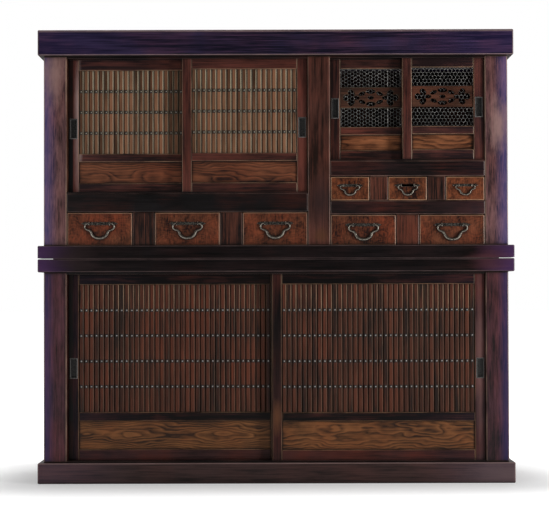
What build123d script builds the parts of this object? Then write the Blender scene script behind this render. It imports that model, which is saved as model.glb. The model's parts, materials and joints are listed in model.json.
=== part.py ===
from build123d import *

import os
from math import ceil, cos, floor, pi, radians, sin, sqrt

os.makedirs("parts", exist_ok=True)

# A mizuya: a kitchen cabinet of two framed cases, one standing on the other.
# +X is to the right, the fronts face -Y, +Z is up. The origin is the middle of
# the footprint, on the floor. Every length is in millimetres.

# ---------------------------------------------------------------------------
# Driving dimensions
# ---------------------------------------------------------------------------

# The whole cabinet
overall_width = 1818  # six shaku, over the plinth and the waist boards
overall_depth = 455  # one and a half shaku
board_overhang = 20.5  # plinth, waist boards and crown stand this far out of the posts
board_ease = 3  # planed edge of the plinth, waist boards and crown

# Heights, from the floor up
plinth_height = 79
lower_case_height = 726
lower_cap_height = 50
upper_base_height = 51
upper_case_height = 727
crown_height = 98

# Plinth, waist boards and crown
plinth_board = 40
bearer_width = 45
bearer_count = 3
waist_member = 60
end_relief = 3.8  # the upper case stands clear of the lower one by this much at its ends
side_relief = 12  # and its side members by this much
crown_board = 30
head_rail_height = 30
floor_board = 12
top_board_count = 3

# Posts
front_post_width = 88
front_post_depth = 78
back_post_width = 60
back_post_depth = 45
centre_post_width = 86
right_bay_width = 592
post_ease = 2.5

# Framed side walls and back wall
wall_rail_height = 58
wall_rail_thickness = 24
wall_board = 9
wall_board_setback = 8
side_board_count = 2
back_board_count = 8
partition_thickness = 18

# Rails, dividers and the rows of drawers, upper case
left_drawer_opening = 129
left_sill_height = 77
large_drawer_opening = 118
middle_rail_height = 53
small_drawer_opening = 93
right_sill_height = 65
rail_setback = 2
middle_rail_depth = 42
rail_ease = 2
divider_setback = 4
divider_depth = 36
left_divider_width = 85
small_divider_width = 70
large_divider_width = 88
left_drawer_count = 3
small_drawer_count = 3
large_drawer_count = 2
shelf_thickness = 14
shelf_depth = 250
shelf_rise = 0.5  # height of a shelf in its compartment, as a share of the posts
cleat_section = 22
guide_height = 16
guide_width = 20

# Door grooves
track_lip = 8
track_ridge = 5
sill_lip_height = 5
head_lip_height = 8

# Sliding doors
door_thickness = 24
door_side_clearance = 1
door_end_clearance = 0.5
door_floor_clearance = 0.3
door_head_clearance = 3
lower_door_overlap = 30
upper_door_overlap = 40
netted_door_overlap = 36
frame_ease = 1.5
stile_width = 40
meeting_stile_width = 36  # the stile that stands over the other door when both are shut

# Slatted doors, lower case
lower_top_rail = 45
lower_middle_rail = 34
lower_panel_height = 109
lower_bottom_rail = 45
lower_batten_count = 4

# Slatted doors, upper case
upper_top_rail = 46
upper_middle_rail = 31
upper_panel_height = 83
upper_bottom_rail = 41
upper_batten_count = 3

# Netted doors, upper case
netted_top_rail = 41
carved_panel_height = 80
carved_panel_share = 0.51  # of the height left over in the netted field, this much is under the panel
netted_middle_rail = 31
netted_panel_height = 59
netted_bottom_rail = 43

# Slats and the battens behind them
slat_pitch = 19.4
slat_width = 17.4
slat_thickness = 7
slat_ease = 3.2
slat_setback = 3
batten_height = 13
batten_thickness = 6

# Panels of the doors
panel_thickness = 9
panel_setback = 6
fielded_border = 13
fielded_step = 3.5

# Netting: one sheet behind the carved panel
net_cell = 34
net_wire = 2.6
net_thickness = 1.4

# Carved panel
carved_thickness = 8
carved_setback = 5
flower_spacing = 148
flower_reach = 29
flower_lobe = 9  # half the width of a petal
flower_heart = 11
lozenge_half_width = 9.5
lozenge_half_height = 5.5
arch_half_width = 15.5
arch_half_height = 7.5
arch_rise = 22
leaf_half_length = 11.5
leaf_half_height = 6
leaf_spread = 31
leaf_rise = 17
leaf_tilt_angle = 20
chisel_cut_count = 10  # straight cuts of the knife round one pierced oval

# Recessed iron pulls
pull_width = 30
pull_height = 78
lower_pull_rise = -5  # height of a pull's middle over the middle of its door
upper_pull_rise = -9
netted_pull_rise = 6
pull_rim = 4
pull_flange = 1.5
pull_recess_depth = 9
pull_wall = 1.2
pull_fit = 0.3

# Drawers
drawer_setback = 3
drawer_front = 20
drawer_side = 9
drawer_bottom = 6
drawer_side_clearance = 1.5
drawer_top_clearance = 2
drawer_floor_clearance = 0.3
drawer_back_clearance = 14
drawer_side_drop = 8
drawer_ease = 2.2

# Swinging bail handles of forged iron: wide drawers, then small drawers
large_bail_span = 88
large_curl_radius = 12
large_shoulder_radius = 8
large_leg = 19
large_bow_corner = 14
large_bar = 3.7
small_bail_span = 57
small_curl_radius = 8
small_shoulder_radius = 5.5
small_leg = 12
small_bow_corner = 9
small_bar = 2.6
shoulder_angle = 65
bow_foot_angle = 20  # slope at which each corner of the bow runs into its flatter foot
forged_turn_angle = 30  # largest turn between two straight runs of the forged bar
forged_flat_count = 6  # flats hammered along the bar and round the eyes
eye_hole_flat_count = 8
bail_plate_thickness = 2
bail_plate_margin = 27
small_plate_margin = 22
large_plate_height = 11
small_plate_height = 9
plate_point = 13
eye_thickness = 4
eye_wall = 2.4
eye_gap = 2
pin_end = 2
pin_shoulder = 0.7  # the bar is this much thicker than its pins, on the radius
pin_fit = 0.06
plate_clearance = 0.4
handle_rise = 0.66  # height of the pins on a wide drawer front, as a share of it
small_handle_rise = 0.625

# ---------------------------------------------------------------------------
# Levels and planes that the pieces share
# ---------------------------------------------------------------------------

half_width = overall_width / 2
body_half = half_width - board_overhang
front = -overall_depth / 2 + board_overhang
back = overall_depth / 2
post_back = front + front_post_depth
wall_inside_back = back - wall_rail_thickness
back_post_front = back - back_post_depth
wall_inside_side = body_half - wall_rail_thickness

lower_floor = plinth_height
lower_top = lower_floor + lower_case_height
waist = lower_top + lower_cap_height
upper_floor = waist + upper_base_height
upper_top = upper_floor + upper_case_height
overall_height = upper_top + crown_height

opening_left = -body_half + front_post_width
opening_right = body_half - front_post_width
right_bay_left = opening_right - right_bay_width
left_bay_right = right_bay_left - centre_post_width
partition_left = (right_bay_left + left_bay_right - partition_thickness) / 2
partition_right = partition_left + partition_thickness

left_sill = upper_floor + left_drawer_opening + left_sill_height - sill_lip_height
middle_rail_floor = upper_floor + large_drawer_opening
small_drawer_floor = middle_rail_floor + middle_rail_height
right_rail_floor = small_drawer_floor + small_drawer_opening
right_sill = right_rail_floor + right_sill_height - sill_lip_height

groove_width = door_thickness + 2 * door_side_clearance
track_front = front + rail_setback
front_door_face = track_front + track_lip + door_side_clearance
rear_door_face = front_door_face + groove_width + track_ridge
drawer_face = front + drawer_setback
drawer_back = wall_inside_back - drawer_back_clearance


# ---------------------------------------------------------------------------
# Shapes used by many pieces
# ---------------------------------------------------------------------------


def board(x0, x1, y0, y1, z0, z1):
    """A plain board between two corners."""
    size = Box(x1 - x0, y1 - y0, z1 - z0)
    return Pos((x0 + x1) / 2, (y0 + y1) / 2, (z0 + z1) / 2) * size


def eased(solid, ease, *faces):
    """The solid with the edges of the named faces planed off at 45 degrees."""
    order = {"front": (Axis.Y, 0), "back": (Axis.Y, -1), "left": (Axis.X, 0), "right": (Axis.X, -1)}
    order.update({"top": (Axis.Z, -1), "bottom": (Axis.Z, 0)})
    edges = set()
    for name in faces:
        axis, place = order[name]
        edges.update(solid.faces().sort_by(axis)[place].edges())
    return chamfer(list(edges), ease)


def front_plane(x, y, z):
    """An upright plane seen from the front: its X is the cabinet's X, its Y is up."""
    return Plane(Vector(x, y, z), x_dir=(1, 0, 0), z_dir=(0, -1, 0))


def steps(start, end, count):
    """The pairs of ends that divide a length into equal runs."""
    run = (end - start) / count
    return [(start + i * run, start + (i + 1) * run) for i in range(count)]


def openings(start, end, count, divider):
    """The clear runs between equal dividers."""
    clear = (end - start - (count - 1) * divider) / count
    pitch = clear + divider
    return [(start + i * pitch, start + i * pitch + clear) for i in range(count)]


def save(node, solids):
    """Writes one node as a group of separate solids."""
    export_step(Compound(label=node, children=list(solids)), f"parts/{node}.step")


# ---------------------------------------------------------------------------
# Plinth, waist boards and crown
# ---------------------------------------------------------------------------


def flat_frame(z0, z1, front_member, side_member):
    """Four boards round the footprint: the long ones run through, the short ones butt."""
    y0 = -overall_depth / 2
    long_front = board(-half_width, half_width, y0, y0 + front_member, z0, z1)
    long_back = board(-half_width, half_width, back - side_member, back, z0, z1)
    left_end = board(-half_width, -half_width + side_member, y0 + front_member, back - side_member, z0, z1)
    right_end = board(half_width - side_member, half_width, y0 + front_member, back - side_member, z0, z1)
    return [
        eased(long_front, board_ease, "front", "left", "right"),
        eased(long_back, board_ease, "back"),
        eased(left_end, board_ease, "left"),
        eased(right_end, board_ease, "right"),
    ]


def flat_infill(z0, z1, front_member, side_member, count):
    """Long boards that close a flat frame."""
    y0 = -overall_depth / 2 + front_member
    x1 = half_width - side_member
    return [board(-x1, x1, a, b, z0, z1) for a, b in steps(y0, back - side_member, count)]


def plinth():
    frame = flat_frame(0, plinth_height, plinth_board, plinth_board)
    y0 = -overall_depth / 2 + plinth_board
    bearers = []
    for i in range(bearer_count):
        x = overall_width * ((i + 1) / (bearer_count + 1) - 1 / 2)
        half = bearer_width / 2
        bearers.append(board(x - half, x + half, y0, back - plinth_board, 0, plinth_height - floor_board))
    floor_z = plinth_height - floor_board
    planks = flat_infill(floor_z, plinth_height, plinth_board, plinth_board, top_board_count)
    return frame + bearers + planks


def waist_board(z0, z1):
    """A waist board: a broad frame, with a thin field of boards level with its top."""
    front_member = board_overhang + front_post_depth
    frame = flat_frame(z0, z1, front_member, waist_member)
    return frame + flat_infill(z1 - floor_board, z1, front_member, waist_member, top_board_count)


def raised_ends(frame):
    """The upper case's frame, hollowed under both ends so that only its long members bear."""
    front_edge = -overall_depth / 2
    inner_front = front_edge + board_overhang + front_post_depth
    inner_back = back - waist_member
    for side in (-1, 1):
        x0, x1 = sorted((side * half_width, side * (half_width - waist_member)))
        hollow = board(x0, x1, front_edge, back, waist, waist + end_relief)
        hollow += board(x0, x1, inner_front, inner_back, waist, waist + side_relief)
        frame = [piece - hollow for piece in frame]
    return frame


def crown():
    frame = flat_frame(upper_top, overall_height, crown_board, crown_board)
    top_z = overall_height - floor_board
    return frame + flat_infill(top_z, overall_height, crown_board, crown_board, top_board_count)


save("base_plinth", plinth())
save("lower_cap_board", waist_board(lower_top, waist))
save("upper_base_board", raised_ends(waist_board(waist, upper_floor)))
save("crown", crown())


# ---------------------------------------------------------------------------
# Posts
# ---------------------------------------------------------------------------


def corner_posts(z0, z1):
    inner_front = body_half - front_post_width
    inner_back = body_half - back_post_width
    return [
        eased(board(-body_half, -inner_front, front, post_back, z0, z1), post_ease, "front"),
        eased(board(inner_front, body_half, front, post_back, z0, z1), post_ease, "front"),
        eased(board(-body_half, -inner_back, back_post_front, back, z0, z1), post_ease, "back"),
        eased(board(inner_back, body_half, back_post_front, back, z0, z1), post_ease, "back"),
    ]


centre_post = board(left_bay_right, right_bay_left, front, post_back, upper_floor, upper_top)
save("lower_posts", corner_posts(lower_floor, lower_top))
save("upper_posts", corner_posts(upper_floor, upper_top) + [eased(centre_post, post_ease, "front")])


# ---------------------------------------------------------------------------
# Side walls, back wall, shelves and compartment floors
# ---------------------------------------------------------------------------


def wall_levels(z0, z1):
    """The heights of the three rails of a wall, and of the two bays between them."""
    middle = (z0 + z1 - wall_rail_height) / 2
    rails = [(z0, z0 + wall_rail_height), (middle, middle + wall_rail_height), (z1 - wall_rail_height, z1)]
    bays = [(rails[0][1], rails[1][0]), (rails[1][1], rails[2][0])]
    return rails, bays


def side_wall(z0, z1, side):
    """Rails between the front and back posts, with upright boards set in from them."""
    rails, bays = wall_levels(z0, z1)
    x0, x1 = sorted((side * wall_inside_side, side * body_half))
    solids = [board(x0, x1, post_back, back_post_front, a, b) for a, b in rails]
    outer = body_half - wall_board_setback
    x0, x1 = sorted((side * outer, side * (outer - wall_board)))
    for a, b in bays:
        runs = steps(post_back, back_post_front, side_board_count)
        solids += [board(x0, x1, c, d, a, b) for c, d in runs]
    return solids


def back_wall(z0, z1):
    """Rails between the back posts, with upright boards set in from them."""
    rails, bays = wall_levels(z0, z1)
    x1 = body_half - back_post_width
    outer = back - wall_board_setback
    solids = [board(-x1, x1, wall_inside_back, back, a, b) for a, b in rails]
    for a, b in bays:
        runs = steps(-x1, x1, back_board_count)
        solids += [board(c, d, outer - wall_board, outer, a, b) for c, d in runs]
    return solids


def level_boards(x0, x1, y0, top):
    """Two boards edge to edge, the rear one cut to lie between the back posts."""
    under = top - shelf_thickness
    clear = body_half - back_post_width
    return [
        board(x0, x1, y0, back_post_front, under, top),
        board(max(x0, -clear), min(x1, clear), back_post_front, wall_inside_back, under, top),
    ]


def shelf(x0, x1, z0, z1):
    """A shelf against the back wall, on a cleat at each end."""
    top = z0 + (z1 - z0) * shelf_rise
    under = top - shelf_thickness
    y0 = wall_inside_back - shelf_depth
    cleats = [
        board(x0, x0 + cleat_section, y0, back_post_front, under - cleat_section, under),
        board(x1 - cleat_section, x1, y0, back_post_front, under - cleat_section, under),
    ]
    return level_boards(x0, x1, y0, top) + cleats


lower_walls = side_wall(lower_floor, lower_top, -1) + side_wall(lower_floor, lower_top, 1)
lower_walls += back_wall(lower_floor, lower_top)
lower_walls += shelf(-wall_inside_side, wall_inside_side, lower_floor, lower_top)
save("lower_case_boards", lower_walls)

upper_walls = side_wall(upper_floor, upper_top, -1) + side_wall(upper_floor, upper_top, 1)
upper_walls += back_wall(upper_floor, upper_top)
upper_walls.append(
    board(partition_left, partition_right, post_back, wall_inside_back, upper_floor, upper_top)
)
upper_walls += level_boards(-wall_inside_side, partition_left, post_back, left_sill)
upper_walls += level_boards(partition_right, wall_inside_side, post_back, right_sill)
upper_walls += level_boards(partition_right, wall_inside_side, post_back, small_drawer_floor)
upper_walls += shelf(-wall_inside_side, partition_left, left_sill, upper_top)
save("upper_case_boards", upper_walls)


# ---------------------------------------------------------------------------
# Rails, dividers, drawer guides and door grooves
# ---------------------------------------------------------------------------

left_openings = openings(opening_left, left_bay_right, left_drawer_count, left_divider_width)
small_openings = openings(right_bay_left, opening_right, small_drawer_count, small_divider_width)
large_openings = openings(right_bay_left, opening_right, large_drawer_count, large_divider_width)

left_sill_floor = upper_floor + left_drawer_opening
middle_rail_back = track_front + middle_rail_depth
middle_rail = board(
    right_bay_left, opening_right, track_front, middle_rail_back, middle_rail_floor, small_drawer_floor
)
left_sill_rail = board(opening_left, left_bay_right, track_front, post_back, left_sill_floor, left_sill)
right_sill_rail = board(right_bay_left, opening_right, track_front, post_back, right_rail_floor, right_sill)
head_rail_end = half_width - crown_board
head_rail_y = -overall_depth / 2 + crown_board
head_rail_top = upper_top + head_rail_height
head_rail = board(-head_rail_end, head_rail_end, head_rail_y, post_back, upper_top, head_rail_top)
save(
    "upper_front_rails",
    [
        eased(left_sill_rail, rail_ease, "front"),
        eased(right_sill_rail, rail_ease, "front"),
        eased(middle_rail, rail_ease, "front"),
        head_rail,
    ],
)


def row_dividers(row, z0, z1):
    """An upright between each two drawer openings."""
    y0 = front + divider_setback
    gaps = [(row[i][1], row[i + 1][0]) for i in range(len(row) - 1)]
    return [eased(board(a, b, y0, y0 + divider_depth, z0, z1), rail_ease, "front") for a, b in gaps]


dividers = row_dividers(left_openings, upper_floor, left_sill_floor)
dividers += row_dividers(small_openings, small_drawer_floor, right_rail_floor)
dividers += row_dividers(large_openings, upper_floor, middle_rail_floor)
save("drawer_dividers", dividers)


def row_guides(row, z0):
    """Strips beside every drawer of a row, from the uprights or posts to the back wall."""
    behind_divider = front + divider_setback + divider_depth
    strips = []
    for i, (a, b) in enumerate(row):
        left_y = post_back if i == 0 else behind_divider
        right_y = post_back if i == len(row) - 1 else behind_divider
        strips.append(board(a - guide_width, a, left_y, wall_inside_back, z0, z0 + guide_height))
        strips.append(board(b, b + guide_width, right_y, wall_inside_back, z0, z0 + guide_height))
    return strips


guides = row_guides(left_openings, upper_floor)
guides += row_guides(small_openings, small_drawer_floor)
guides += row_guides(large_openings, upper_floor)
bearer_floor = small_drawer_floor - shelf_thickness
for x0, x1 in small_openings:
    guides.append(board(x0, x1, middle_rail_back, post_back, bearer_floor, small_drawer_floor))
save("drawer_guides", guides)


def grooves(x0, x1, sill, head):
    """The lips and ridge that make two door grooves at the sill and two at the head."""
    lip_front = track_front
    ridge = lip_front + track_lip + groove_width
    lip_back = ridge + track_ridge + groove_width
    solids = []
    for y, width in ((lip_front, track_lip), (ridge, track_ridge), (lip_back, track_lip)):
        solids.append(board(x0, x1, y, y + width, sill, sill + sill_lip_height))
        solids.append(board(x0, x1, y, y + width, head - head_lip_height, head))
    return solids


door_grooves = grooves(opening_left, opening_right, lower_floor, lower_top)
door_grooves += grooves(opening_left, left_bay_right, left_sill, upper_top)
door_grooves += grooves(right_bay_left, opening_right, right_sill, upper_top)
save("door_grooves", door_grooves)


# ---------------------------------------------------------------------------
# Recessed pulls
# ---------------------------------------------------------------------------


def pull_cup(x, face, z):
    """A shallow iron tray let into a stile, with a flat rim standing on the wood."""
    inner_width = pull_width - 2 * pull_rim
    inner_height = pull_height - 2 * pull_rim
    rim = Box(pull_width, pull_flange, pull_height, align=(Align.CENTER, Align.MAX, Align.CENTER))
    rim = eased(rim, pull_flange / 2, "front")
    tray_depth = pull_recess_depth + pull_wall
    tray_size = (inner_width + 2 * pull_wall, tray_depth, inner_height + 2 * pull_wall)
    tray = Box(*tray_size, align=(Align.CENTER, Align.MIN, Align.CENTER))
    hollow_depth = pull_flange + pull_recess_depth
    hollow = Box(inner_width, hollow_depth, inner_height, align=(Align.CENTER, Align.MIN, Align.CENTER))
    return Pos(x, face, z) * (rim + tray - Pos(0, -pull_flange, 0) * hollow)


def pull_mortise(x, face, z):
    """The pocket that a pull's tray sits in."""
    width = pull_width - 2 * pull_rim + 2 * (pull_wall + pull_fit)
    height = pull_height - 2 * pull_rim + 2 * (pull_wall + pull_fit)
    depth = pull_recess_depth + pull_wall + pull_fit
    return board(x - width / 2, x + width / 2, face, face + depth, z - height / 2, z + height / 2)


# ---------------------------------------------------------------------------
# Sliding doors
# ---------------------------------------------------------------------------


def door_span(x0, x1, overlap, track):
    """Left and right edges of a door, and its front face, in the rear or the front groove."""
    width = (x1 - x0 + overlap) / 2
    if track == "rear":
        return x0 + door_end_clearance, x0 + width, rear_door_face
    return x1 - width, x1 - door_end_clearance, front_door_face


def inner_edges(x0, x1, pull_left):
    """Where the rails of a door begin and end: its outer stile, with the pull, is the broad one."""
    if pull_left:
        return x0 + stile_width, x1 - meeting_stile_width
    return x0 + meeting_stile_width, x1 - stile_width


def door_frame(x0, x1, inner_left, inner_right, face, z0, z1, rails, pull_x, pull_z):
    """Two stiles and the rails between them, with a mortise for the pull in one stile."""
    y1 = face + door_thickness
    frame = []
    for a, b in ((x0, inner_left), (inner_right, x1)):
        upright = eased(board(a, b, face, y1, z0, z1), frame_ease, "front")
        if a < pull_x < b:
            upright -= pull_mortise(pull_x, face, pull_z)
        frame.append(upright)
    for a, b in rails:
        frame.append(eased(board(inner_left, inner_right, face, y1, a, b), frame_ease, "front"))
    return frame


def slat(length):
    """One slat: a flat strip with its two front edges planed off."""
    half = slat_width / 2
    outline = Polyline(
        (-half, slat_thickness),
        (-half, slat_ease),
        (-half + slat_ease, 0),
        (half - slat_ease, 0),
        (half, slat_ease),
        (half, slat_thickness),
        close=True,
    )
    return extrude(make_face(outline), length)


def slat_field(x0, x1, face, z0, z1, rows):
    """Upright slats side by side, on level battens that hold them from behind."""
    count = round((x1 - x0) / slat_pitch)
    one = slat(z1 - z0)
    solids = [Pos((a + b) / 2, face + slat_setback, z0) * one for a, b in steps(x0, x1, count)]
    batten_y = face + slat_setback + slat_thickness
    for row in range(rows):
        z = z1 - (z1 - z0) * (row + 1) / (rows + 1)
        half = batten_height / 2
        solids.append(board(x0, x1, batten_y, batten_y + batten_thickness, z - half, z + half))
    return solids


def slatted_door(name, span, levels, sizes, rows, pull_left, pull_rise):
    """A door with a field of slats over a low panel."""
    x0, x1, face = span
    sill, head = levels
    top_rail, middle_rail_width, panel_height, bottom_rail = sizes
    z0 = sill + door_floor_clearance
    z1 = head - door_head_clearance
    panel_floor = z0 + bottom_rail
    panel_top = panel_floor + panel_height
    field_floor = panel_top + middle_rail_width
    field_top = z1 - top_rail
    rails = [(z0, panel_floor), (panel_top, field_floor), (field_top, z1)]
    pull_x = x0 + stile_width / 2 if pull_left else x1 - stile_width / 2
    pull_z = (z0 + z1) / 2 + pull_rise
    inner_left, inner_right = inner_edges(x0, x1, pull_left)
    frame = door_frame(x0, x1, inner_left, inner_right, face, z0, z1, rails, pull_x, pull_z)
    save(name + "_frame", frame)
    save(name + "_slats", slat_field(inner_left, inner_right, face, field_floor, field_top, rows))
    panel_y = face + panel_setback
    panel = board(inner_left, inner_right, panel_y, panel_y + panel_thickness, panel_floor, panel_top)
    save(name + "_panel", [panel])
    save(name + "_pull", [pull_cup(pull_x, face, pull_z)])


lower_sizes = (lower_top_rail, lower_middle_rail, lower_panel_height, lower_bottom_rail)
upper_sizes = (upper_top_rail, upper_middle_rail, upper_panel_height, upper_bottom_rail)
lower_levels = (lower_floor, lower_top)
upper_levels = (left_sill, upper_top)
for hand, track in (("left", "rear"), ("right", "front")):
    on_left = hand == "left"
    span = door_span(opening_left, opening_right, lower_door_overlap, track)
    slatted_door(
        f"lower_{hand}_door", span, lower_levels, lower_sizes, lower_batten_count, on_left, lower_pull_rise
    )
    span = door_span(opening_left, left_bay_right, upper_door_overlap, track)
    slatted_door(
        f"upper_{hand}_door", span, upper_levels, upper_sizes, upper_batten_count, on_left, upper_pull_rise
    )


def lobe(x, z, reach_x, reach_z, turn=0):
    """One oval of a pierced hole, cut round in short straight cuts."""
    angles = [2 * pi * i / chisel_cut_count for i in range(chisel_cut_count)]
    outline = Polyline(*[(reach_x * cos(a), reach_z * sin(a)) for a in angles], close=True)
    return Pos(x, z) * Rot(0, 0, turn) * make_face(outline)


def flower_hole(outward):
    """A four-petalled hole whose inner petal runs out to a point."""
    petal = flower_reach / 2
    hole = lobe(0, petal, flower_lobe, petal)
    hole += lobe(0, -petal, flower_lobe, petal)
    hole += lobe(outward * petal, 0, petal, flower_lobe)
    stem = Polyline(
        (outward * flower_heart, 0),
        (0, flower_heart),
        (-outward * flower_reach, 0),
        (0, -flower_heart),
        close=True,
    )
    return hole + make_face(stem)


def medallion_holes():
    """A lozenge between two arched holes, and four slanting leaves round them."""
    holes = [lobe(0, 0, lozenge_half_width, lozenge_half_height)]
    for up in (-1, 1):
        holes.append(lobe(0, up * arch_rise, arch_half_width, arch_half_height))
        for across in (-1, 1):
            turn = -leaf_tilt_angle * up * across
            leaf = lobe(across * leaf_spread, up * leaf_rise, leaf_half_length, leaf_half_height, turn)
            holes.append(leaf)
    return holes


def carved_panel(x0, x1, face, z0, z1):
    """A thin panel pierced with a flower at each end and a medallion between them."""
    sheet = Rectangle(x1 - x0, z1 - z0)
    for outward in (-1, 1):
        sheet -= Pos(outward * flower_spacing / 2, 0) * flower_hole(outward)
    for hole in medallion_holes():
        sheet -= hole
    return extrude(front_plane((x0 + x1) / 2, face, (z0 + z1) / 2) * sheet, -carved_thickness)


def netting(x0, x1, face, fields):
    """One sheet of six-sided netting, open in the given fields and plain behind the rails."""
    low = min(a for a, b in fields)
    high = max(b for a, b in fields)
    sheet = Rectangle(x1 - x0, high - low)
    mesh_radius = (net_cell - net_wire) / sqrt(3)
    row_pitch = net_cell * sqrt(3) / 2
    cells = []
    for field_floor, field_top in fields:
        rows = floor((field_top - field_floor - 2 * mesh_radius) / row_pitch) + 1
        middle_z = (field_floor + field_top) / 2 - (low + high) / 2
        for row in range(rows):
            z = middle_z + (row - (rows - 1) / 2) * row_pitch
            count = floor((x1 - x0 - net_wire) / net_cell) - row % 2
            for column in range(count):
                cells.append((net_cell * (column - (count - 1) / 2), z))
    sheet -= [Pos(x, z) * RegularPolygon(mesh_radius, 6, rotation=30) for x, z in cells]
    return extrude(front_plane((x0 + x1) / 2, face, (low + high) / 2) * sheet, -net_thickness)


def fielded_panel(x0, x1, face, z0, z1):
    """A low panel whose border slopes back from a raised field."""
    middle = front_plane((x0 + x1) / 2, face, (z0 + z1) / 2)
    field = middle * Rectangle(x1 - x0 - 2 * fielded_border, z1 - z0 - 2 * fielded_border)
    foot = Pos(0, fielded_step, 0) * middle * Rectangle(x1 - x0, z1 - z0)
    slab = board(x0, x1, face + fielded_step, face + panel_thickness, z0, z1)
    return slab + loft([foot, field])


def netted_door(name, span, pull_left):
    """A door with netting behind a carved panel, over a low fielded panel."""
    x0, x1, face = span
    z0 = right_sill + door_floor_clearance
    z1 = upper_top - door_head_clearance
    panel_floor = z0 + netted_bottom_rail
    panel_top = panel_floor + netted_panel_height
    net_floor = panel_top + netted_middle_rail
    net_top = z1 - netted_top_rail
    carved_floor = net_floor + (net_top - net_floor - carved_panel_height) * carved_panel_share
    carved_top = carved_floor + carved_panel_height
    rails = [(z0, panel_floor), (panel_top, net_floor), (net_top, z1)]
    pull_x = x0 + stile_width / 2 if pull_left else x1 - stile_width / 2
    pull_z = (z0 + z1) / 2 + netted_pull_rise
    inner_left, inner_right = inner_edges(x0, x1, pull_left)
    carved_face = face + carved_setback
    net_face = carved_face + carved_thickness
    frame = door_frame(x0, x1, inner_left, inner_right, face, z0, z1, rails, pull_x, pull_z)
    save(name + "_frame", frame)
    carved = carved_panel(inner_left, inner_right, carved_face, carved_floor, carved_top)
    fielded = fielded_panel(inner_left, inner_right, face + panel_setback, panel_floor, panel_top)
    save(name + "_panels", [carved, fielded])
    fields = [(net_floor, carved_floor), (carved_top, net_top)]
    save(name + "_netting", [netting(inner_left, inner_right, net_face, fields)])
    save(name + "_pull", [pull_cup(pull_x, face, pull_z)])


for hand, track in (("left", "rear"), ("right", "front")):
    span = door_span(right_bay_left, opening_right, netted_door_overlap, track)
    netted_door(f"netted_{hand}_door", span, hand == "left")


# ---------------------------------------------------------------------------
# Drawers with their swinging handles
# ---------------------------------------------------------------------------


def drawer_box(x0, x1, z0, z1):
    """A thick front with a thin open box behind it; the bottom is nailed under the sides."""
    left = x0 + drawer_side_clearance
    right = x1 - drawer_side_clearance
    low = z0 + drawer_floor_clearance
    high = z1 - drawer_top_clearance
    behind = drawer_face + drawer_front
    side_low = low + drawer_bottom
    side_high = high - drawer_side_drop
    back_y = drawer_back - drawer_side
    return [
        eased(board(left, right, drawer_face, behind, low, high), drawer_ease, "front"),
        board(left, right, behind, drawer_back, low, side_low),
        board(left, left + drawer_side, behind, drawer_back, side_low, side_high),
        board(right - drawer_side, right, behind, drawer_back, side_low, side_high),
        board(left + drawer_side, right - drawer_side, back_y, drawer_back, side_low, side_high),
    ]


def pin_plane_y(bar):
    """How far forward the pins of a bail stand, so that its bar just clears the plate."""
    return drawer_face - bail_plate_thickness - plate_clearance - bar


def flat_disc(radius, sides, thickness):
    """A disc with flats round it, one of them facing the drawer front, centred across X."""
    outline = Plane.YZ * RegularPolygon(radius, sides, major_radius=False, rotation=180 / sides)
    return extrude(outline, thickness / 2, both=True)


def handle_plate(x, z, span, bar, margin, height):
    """A long thin plate with pointed ends, and the two eyes that hold the bail's pins."""
    half = span / 2 + margin
    outline = Polyline(
        (-half, 0),
        (-half + plate_point, height / 2),
        (half - plate_point, height / 2),
        (half, 0),
        (half - plate_point, -height / 2),
        (-half + plate_point, -height / 2),
        close=True,
    )
    plate = extrude(front_plane(x, drawer_face, z) * make_face(outline), bail_plate_thickness)
    pin_radius = bar - pin_shoulder
    eye_radius = pin_radius + pin_fit + eye_wall
    pin_y = pin_plane_y(bar)
    neck_depth = drawer_face - bail_plate_thickness - pin_y
    for side in (-1, 1):
        eye_x = x + side * (span / 2 - eye_gap - eye_thickness / 2)
        eye = Pos(eye_x, pin_y, z)
        ring = flat_disc(eye_radius, forged_flat_count, eye_thickness)
        neck_size = (eye_thickness, neck_depth, 2 * eye_radius)
        neck = Box(*neck_size, align=(Align.CENTER, Align.MIN, Align.CENTER))
        hole = flat_disc(pin_radius + pin_fit, eye_hole_flat_count, 2 * eye_thickness)
        reach = 2 * eye_radius
        behind = board(eye_x - reach, eye_x + reach, drawer_face, back, z - reach, z + reach)
        plate = plate + (eye * (ring + neck) - behind) - eye * hole
    return plate


def forged_run(arc, turn):
    """The corners of the straight runs that follow one bend of the bar."""
    count = ceil(turn / forged_turn_angle)
    return [arc @ (i / count) for i in range(1, count + 1)]


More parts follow.
